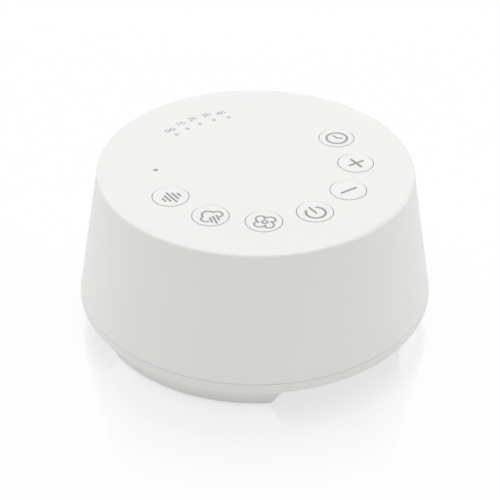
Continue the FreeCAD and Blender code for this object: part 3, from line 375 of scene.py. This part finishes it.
zincScrew = {
    "base": (0.55, 0.56, 0.57),
    "roughness": (0.28, 0.42),
    "metallic": 1.0,
    "grainScale": 5200.0,
    "grainDepth": 0.004 * mm,
}
platedSteel = dict(zincScrew, base=(0.68, 0.68, 0.69), roughness=(0.2, 0.32))
darkPlastic = {
    "base": (0.025, 0.025, 0.027),
    "worn": (0.09, 0.09, 0.09),
    "roughness": (0.45, 0.6),
    "wear": 0.5,
}
boardLacquer = {
    "base": (0.02, 0.16, 0.07),
    "drift": (0.015, 0.12, 0.05),
    "worn": (0.3, 0.42, 0.3),
    "driftScale": 160.0,
    "roughness": (0.22, 0.34),
    "grainScale": 4200.0,
    "shader": {"Coat Weight": 0.3, "Coat Roughness": 0.15},
}
canMetal = dict(zincScrew, base=(0.78, 0.78, 0.8), roughness=(0.25, 0.36))
creamPlastic = {"base": (0.78, 0.72, 0.58), "roughness": (0.4, 0.52), "wear": 0.4}
ledEpoxy = {
    "base": (0.85, 0.82, 0.6),
    "roughness": (0.12, 0.2),
    "shader": {"Coat Weight": 0.6, "Coat Roughness": 0.08},
}
foam = {
    "base": (0.03, 0.03, 0.03),
    "roughness": (0.85, 0.97),
    "grainScale": 1100.0,
    "grainDepth": 0.12 * mm,
}
blackSteel = {
    "base": (0.03, 0.03, 0.032),
    "worn": (0.3, 0.3, 0.3),
    "roughness": (0.3, 0.42),
    "wear": 0.5,
    "shader": {"Coat Weight": 0.2, "Coat Roughness": 0.25},
}
ferrite = {
    "base": (0.05, 0.05, 0.053),
    "worn": (0.14, 0.14, 0.14),
    "roughness": (0.55, 0.7),
    "grainScale": 3300.0,
    "grainDepth": 0.03 * mm,
    "wear": 0.6,
}
conePaper = {
    "base": (0.035, 0.034, 0.033),
    "drift": (0.06, 0.058, 0.055),
    "driftScale": 260.0,
    "roughness": (0.78, 0.92),
    "grainScale": 900.0,
    "grainDepth": 0.06 * mm,
}
softRubber = {"base": (0.02, 0.02, 0.02), "roughness": (0.5, 0.66), "grainDepth": 0.01 * mm}
spiderCloth = {
    "base": (0.62, 0.42, 0.14),
    "drift": (0.5, 0.33, 0.1),
    "driftScale": 700.0,
    "roughness": (0.7, 0.85),
    "grainScale": 1500.0,
    "grainDepth": 0.08 * mm,
}
coilCopper = {
    "base": (0.75, 0.33, 0.13),
    "roughness": (0.22, 0.34),
    "metallic": 0.9,
    "grainScale": 3000.0,
}
cellFoil = {
    "base": (0.66, 0.67, 0.69),
    "drift": (0.6, 0.61, 0.63),
    "roughness": (0.3, 0.46),
    "metallic": 0.85,
    "grainScale": 700.0,
    "grainDepth": 0.05 * mm,
}
wireSleeve = {"base": (0.5, 0.03, 0.02), "roughness": (0.38, 0.5)}

keyNames = ["wave", "rain", "fan", "power", "minus", "plus", "timer"]
nodeFinishes = {
    "whiteCase": (whiteCase, ["top_shell"]),
    "whiteBase": (whiteBase, ["base_shell"]),
    "whiteKey": (whiteKey, [f"key_{name}" for name in keyNames]),
    "lightLens": (lightLens, ["timer_light_guide"]),
    "statusLens": (statusLens, ["status_light_guide"]),
    "padRubber": (padRubber, ["foot_pad_1", "foot_pad_2", "foot_pad_3"]),
    "zincScrew": (zincScrew, ["case_screws", "speaker_screws", "board_screws", "power_board_screws"]),
    "platedSteel": (platedSteel, ["front_plate", "back_plate", "port_shell"]),
    "darkPlastic": (
        darkPlastic,
        ["key_switches", "controller", "port_tongue"] + [f"plunger_{name}" for name in keyNames],
    ),
    "boardLacquer": (boardLacquer, ["main_board", "power_board"]),
    "canMetal": (canMetal, ["board_capacitors"]),
    "creamPlastic": (creamPlastic, ["board_plugs", "power_plug"]),
    "ledEpoxy": (ledEpoxy, ["timer_leds", "status_led"]),
    "foam": (foam, ["speaker_gasket", "cell_tape"]),
    "blackSteel": (blackSteel, ["speaker_basket"]),
    "ferrite": (ferrite, ["speaker_magnet"]),
    "conePaper": (conePaper, ["speaker_cone", "dust_cap"]),
    "softRubber": (softRubber, ["speaker_surround"]),
    "spiderCloth": (spiderCloth, ["speaker_spider"]),
    "coilCopper": (coilCopper, ["voice_coil"]),
    "cellFoil": (cellFoil, ["battery_cell"]),
    "wireSleeve": (wireSleeve, ["power_lead", "battery_lead", "speaker_lead"]),
}


def dress(item, material):
    item.data.materials.clear()
    item.data.materials.append(material)


finishes = {}
for finishName, (finishSpec, members) in nodeFinishes.items():
    finishes[finishName] = makeFinish(finishName, finishSpec)
    for member in members:
        dress(nodes[member], finishes[finishName])
finishes["printInk"] = makeFinish("printInk", printInk)
print("finishes made:", len(finishes))


# Printed strokes: a flat ribbon of ink with round ends, laid just above the surface it is printed on.
# It climbs by a hair along its length, so that strokes which cross never lie in one plane.

inkLift = 0.012 * mm
strokeRise = 0.002 * mm
capSteps = 8


def addRibbon(mesh, points, width, closed, height):
    count = len(points)
    half = width / 2
    sides = []
    for index, point in enumerate(points):
        before = points[index - 1] if closed or index else point
        after = points[(index + 1) % count] if closed or index < count - 1 else point
        along = (after - before).normalized()
        across = Vector((-along.y, along.x))
        level = height + strokeRise * index / count
        left = mesh.verts.new((*(point + across * half), level))
        right = mesh.verts.new((*(point - across * half), level))
        sides.append((left, right, along))
    lastIndex = count if closed else count - 1
    for index in range(lastIndex):
        left, right, along = sides[index]
        nextLeft, nextRight = sides[(index + 1) % count][:2]
        mesh.faces.new((right, nextRight, nextLeft, left))
    if closed:
        return
    for index, sign in ((0, -1), (count - 1, 1)):
        left, right, along = sides[index]
        rim = [left if sign > 0 else right]
        for step in range(1, capSteps):
            turn = math.pi * step / capSteps
            across = Vector((-along.y, along.x)) * sign
            place = points[index] + across * half * math.cos(turn) + along * sign * half * math.sin(turn)
            rim.append(mesh.verts.new((*place, left.co.z)))
        rim.append(right if sign > 0 else left)
        mesh.faces.new(rim[::-1])


def arcPoints(centre, radius, start, end, steps=24):
    points = []
    for step in range(steps + 1):
        turn = math.radians(start + (end - start) * step / steps)
        points.append(Vector((centre[0] + radius * math.cos(turn), centre[1] + radius * math.sin(turn))))
    return points


# A smooth closed curve through a few points.
def smoothLoop(corners, steps=8):
    points = []
    count = len(corners)
    for index in range(count):
        a, b, c, d = (Vector(corners[(index + shift) % count]) for shift in (-1, 0, 1, 2))
        for step in range(steps):
            part = step / steps
            points.append(0.5 * (
                2 * b + (c - a) * part + (2 * a - 5 * b + 4 * c - d) * part ** 2
                + (3 * b - a - 3 * c + d) * part ** 3
            ))
    return points


def inkPiece(name, strokes, centre, height, body):
    mesh = bmesh.new()
    for order, stroke in enumerate(strokes):
        points = [Vector((point[0], point[1])) * mm + Vector(centre[:2]) for point in stroke["points"]]
        level = height + inkLift + strokeRise * order
        addRibbon(mesh, points, stroke["width"] * mm, stroke.get("closed", False), level)
    data = bpy.data.meshes.new(name)
    mesh.to_mesh(data)
    mesh.free()
    piece = bpy.data.objects.new(name, data)
    bpy.context.scene.collection.objects.link(piece)
    dress(piece, finishes["printInk"])
    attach(piece, body)
    return piece


# The symbols, in millimetres from the middle of their key, upright towards the back

waveSymbol = {"pitch": 1.31, "lengths": [2.45, 4.1, 6.45, 4.15, 2.4], "width": 0.68}
rainSymbol = {
    "width": 0.66,
    "leftLobe": ((-2.0, -0.45), 1.4, 97, 268),
    "topLobe": ((-0.2, 1.12), 1.8, 183, 6),
    "rightLobe": ((2.1, -0.25), 1.5, 108, -90),
    "drops": [((-0.73, -0.6), (-1.4, -2.8)), ((0.39, -0.47), (-0.52, -4.0)), ((1.56, -0.6), (0.99, -2.95))],
}
fanSymbol = {
    "width": 0.62,
    "hubRadius": 0.78,
    "blade": [
        (-1.64, 1.87), (-1.04, 3.04), (0.0, 3.48), (0.96, 3.12),
        (1.4, 2.45), (1.2, 1.95), (0.92, 1.5),
    ],
}
powerSymbol = {"width": 0.74, "radius": 2.9, "opening": 39, "barTop": 3.1, "barLow": -0.3}
minusSymbol = {"width": 0.8, "length": 5.2}
plusSymbol = {"width": 0.84, "length": 5.0}
timerSymbol = {
    "width": 0.7,
    "radius": 3.2,
    "handWidth": 0.62,
    "hands": [(0, 1.75), (0.05, 0.1), (1.35, -0.85)],
}


def line(first, last, steps=4):
    a = Vector(first)
    b = Vector(last)
    return [a + (b - a) * step / steps for step in range(steps + 1)]


def waveStrokes():
    middle = (len(waveSymbol["lengths"]) - 1) / 2
    strokes = []
    for index, length in enumerate(waveSymbol["lengths"]):
        x = (index - middle) * waveSymbol["pitch"]
        half = (length - waveSymbol["width"]) / 2
        strokes.append({"points": line((x, -half), (x, half)), "width": waveSymbol["width"]})
    return strokes


def rainStrokes():
    width = rainSymbol["width"]
    strokes = []
    for lobe in ("leftLobe", "topLobe", "rightLobe"):
        strokes.append({"points": arcPoints(*rainSymbol[lobe]), "width": width})
    for first, last in rainSymbol["drops"]:
        strokes.append({"points": line(first, last), "width": width})
    return strokes


def fanStrokes():
    corners = []
    for quarter in range(4):
        for x, y in fanSymbol["blade"]:
            for _ in range(quarter):
                x, y = y, -x
            corners.append((x, y))
    hub = arcPoints((0, 0), fanSymbol["hubRadius"], 0, 360, 32)[:-1]
    return [
        {"points": smoothLoop(corners), "width": fanSymbol["width"], "closed": True},
        {"points": hub, "width": fanSymbol["width"], "closed": True},
    ]


def powerStrokes():
    width = powerSymbol["width"]
    opening = powerSymbol["opening"]
    ring = arcPoints((0, 0), powerSymbol["radius"], 90 + opening, 450 - opening, 48)
    bar = line((0, powerSymbol["barTop"]), (0, powerSymbol["barLow"]))
    return [{"points": ring, "width": width}, {"points": bar, "width": width}]


def barStroke(spec, upright):
    half = spec["length"] / 2
    ends = ((0, -half), (0, half)) if upright else ((-half, 0), (half, 0))
    return {"points": line(*ends), "width": spec["width"]}


def timerStrokes():
    ring = arcPoints((0, 0), timerSymbol["radius"], 0, 360, 64)[:-1]
    top, pivot, end = timerSymbol["hands"]
    return [
        {"points": ring, "width": timerSymbol["width"], "closed": True},
        {"points": line(top, pivot), "width": timerSymbol["handWidth"]},
        {"points": line(pivot, end), "width": timerSymbol["handWidth"]},
    ]


symbols = {
    "wave": (waveStrokes(), (-0.15, -0.8)),
    "rain": (rainStrokes(), (-0.2, -0.5)),
    "fan": (fanStrokes(), (-0.1, -0.6)),
    "power": (powerStrokes(), (-0.2, -0.65)),
    "minus": ([barStroke(minusSymbol, False)], (-0.1, -0.4)),
    "plus": ([barStroke(plusSymbol, False), barStroke(plusSymbol, True)], (-0.12, -0.4)),
    "timer": (timerStrokes(), (-0.2, -0.4)),
}
for keyName, (strokes, nudge) in symbols.items():
    low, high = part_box(f"key_{keyName}")
    middle = (low + high) / 2 + Vector((*nudge, 0)) * mm
    inkPiece(f"symbol_{keyName}", strokes, middle, high.z, f"{keyName}_key")
print("key symbols made:", len(symbols))


# Labels outside the timer lights: endless, then one to four hours

labelPrint = {
    "textHeight": 2.9,
    "textWiden": 1.12,
    "textSmoothness": 6,
    "places": {
        "1h": (-5.13, 33.69),
        "2h": (-0.33, 34.04),
        "3h": (4.62, 33.64),
        "4h": (9.17, 32.24),
    },
    "endless": (-9.98, 32.89),
    "endlessWidth": 3.1,
    "endlessHeight": 1.55,
    "endlessStroke": 0.3,
}


def endlessPoints(width, height, steps=48):
    points = []
    for step in range(steps):
        turn = 2 * math.pi * step / steps
        points.append((width / 2 * math.cos(turn), height / 2 * math.sin(2 * turn)))
    return points


def labelPiece(text, place, height):
    curve = bpy.data.curves.new(f"label_{text}", "FONT")
    curve.body = text
    curve.size = labelPrint["textHeight"] * mm
    curve.align_x = "CENTER"
    curve.resolution_u = labelPrint["textSmoothness"]
    letters = bpy.data.objects.new(f"letters_{text}", curve)
    bpy.context.scene.collection.objects.link(letters)
    bpy.context.view_layer.update()
    data = bpy.data.meshes.new_from_object(letters.evaluated_get(bpy.context.evaluated_depsgraph_get()))
    bpy.data.objects.remove(letters)
    for vertex in data.vertices:
        vertex.co.x *= labelPrint["textWiden"]
        vertex.co += Vector((place[0] * mm, place[1] * mm, height + inkLift))
    piece = bpy.data.objects.new(f"label_{text}", data)
    bpy.context.scene.collection.objects.link(piece)
    dress(piece, finishes["printInk"])
    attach(piece, "case")


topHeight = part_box("top_shell")[1].z
for text, place in labelPrint["places"].items():
    labelPiece(text, place, topHeight)
endless = {
    "points": endlessPoints(labelPrint["endlessWidth"], labelPrint["endlessHeight"]),
    "width": labelPrint["endlessStroke"],
    "closed": True,
}
endlessPlace = Vector((*labelPrint["endless"], 0)) * mm
inkPiece("label_endless", [endless], endlessPlace, topHeight, "case")
print("labels made")


# Studio: a white floor with a faint mirror image and the object's own soft shadow, and large soft
# lights whose bearings are counted from the camera's side

studio = {
    "floorSide": 6.0,
    "floorDrop": 0.01 * mm,
    "floorColour": (0.92, 0.92, 0.915, 1.0),
    "floorSeen": 0.88,
    "mirror": 0.21,
    "mirrorNear": 64 * mm,
    "mirrorFar": 92 * mm,
    "mirrorRoughness": 0.05,
    "worldLight": 0.62,
    "aimHeight": 20 * mm,
    "lights": {
        "overhead": {"bearing": 180, "rise": 82, "distance": 1.3, "side": 1.3, "power": 7.0},
        "left": {"bearing": -118, "rise": 24, "distance": 1.2, "side": 0.9, "power": 2.1},
        "right": {"bearing": 118, "rise": 24, "distance": 1.2, "side": 0.9, "power": 2.1},
    },
}


# The floor as the camera and the gloss see it is mostly plain white, so that it stays white while the
# shadow shows. Its mirror image fades a little way out from the object, and from below it is clear.
def makeFloor():
    half = studio["floorSide"] / 2
    data = bpy.data.meshes.new("studioFloor")
    corners = [(-half, -half, 0), (half, -half, 0), (half, half, 0), (-half, half, 0)]
    data.from_pydata(corners, [], [(0, 1, 2, 3)])
    floor = bpy.data.objects.new("studioFloor", data)
    floor.location.z = -studio["floorDrop"]
    bpy.context.scene.collection.objects.link(floor)
    material = bpy.data.materials.new("studioFloor")
    material.use_nodes = True
    tree = material.node_tree
    tree.nodes.clear()
    graph = Graph(tree)
    matt = graph.add("ShaderNodeBsdfDiffuse", None, {"Color": studio["floorColour"]})
    plain = graph.add("ShaderNodeEmission", None, {"Color": (1, 1, 1, 1), "Strength": 1.0})
    seen = graph.math("MULTIPLY", backgroundRays(graph), studio["floorSeen"])
    white = graph.add("ShaderNodeMixShader", None, {0: seen, 1: matt.outputs[0], 2: plain.outputs[0]})
    place = graph.add("ShaderNodeTexCoord").outputs["Object"]
    reach = graph.add("ShaderNodeVectorMath", {"operation": "LENGTH"}, {0: place}).outputs["Value"]
    share = graph.spread(reach, studio["mirrorNear"], studio["mirrorFar"], studio["mirror"], 0.0)
    gloss = {"Color": (1, 1, 1, 1), "Roughness": studio["mirrorRoughness"]}
    mirror = graph.add("ShaderNodeBsdfGlossy", None, gloss)
    both = graph.add("ShaderNodeMixShader", None, {0: share, 1: white.outputs[0], 2: mirror.outputs[0]})
    clear = graph.add("ShaderNodeBsdfTransparent", None, {"Color": (1, 1, 1, 1)})
    behind = graph.add("ShaderNodeNewGeometry").outputs["Backfacing"]
    sides = graph.add("ShaderNodeMixShader", None, {0: behind, 1: both.outputs[0], 2: clear.outputs[0]})
    graph.add("ShaderNodeOutputMaterial", None, {"Surface": sides.outputs[0]})
    dress(floor, material)


# One where the camera, a reflection or a clear piece sees the background, and nought for its light.
def backgroundRays(graph):
    path = graph.add("ShaderNodeLightPath")
    seen = graph.math("MAXIMUM", path.outputs["Is Camera Ray"], path.outputs["Is Glossy Ray"])
    return graph.math("MAXIMUM", seen, path.outputs["Is Transmission Ray"])


def makeWorld():
    world = bpy.data.worlds.new("studioWorld")
    bpy.context.scene.world = world
    world.use_nodes = True
    tree = world.node_tree
    tree.nodes.clear()
    graph = Graph(tree)
    strength = graph.spread(backgroundRays(graph), 0.0, 1.0, studio["worldLight"], 1.0)
    sky = graph.add("ShaderNodeBackground", None, {"Color": (1, 1, 1, 1), "Strength": strength})
    graph.add("ShaderNodeOutputWorld", None, {"Surface": sky.outputs[0]})


def makeLight(name, spec):
    data = bpy.data.lights.new(name, "AREA")
    data.shape = "SQUARE"
    data.size = spec["side"]
    data.energy = spec["power"]
    lamp = bpy.data.objects.new(name, data)
    towards = direction(photoView["azimuth"] + spec["bearing"], spec["rise"])
    lamp.location = Vector((0, 0, studio["aimHeight"])) + towards * spec["distance"]
    lamp.rotation_mode = "QUATERNION"
    lamp.rotation_quaternion = (-towards).to_track_quat("-Z", "Y")
    bpy.context.scene.collection.objects.link(lamp)


makeFloor()
makeWorld()
for lightName, lightSpec in studio["lights"].items():
    makeLight(lightName, lightSpec)
print("studio made")
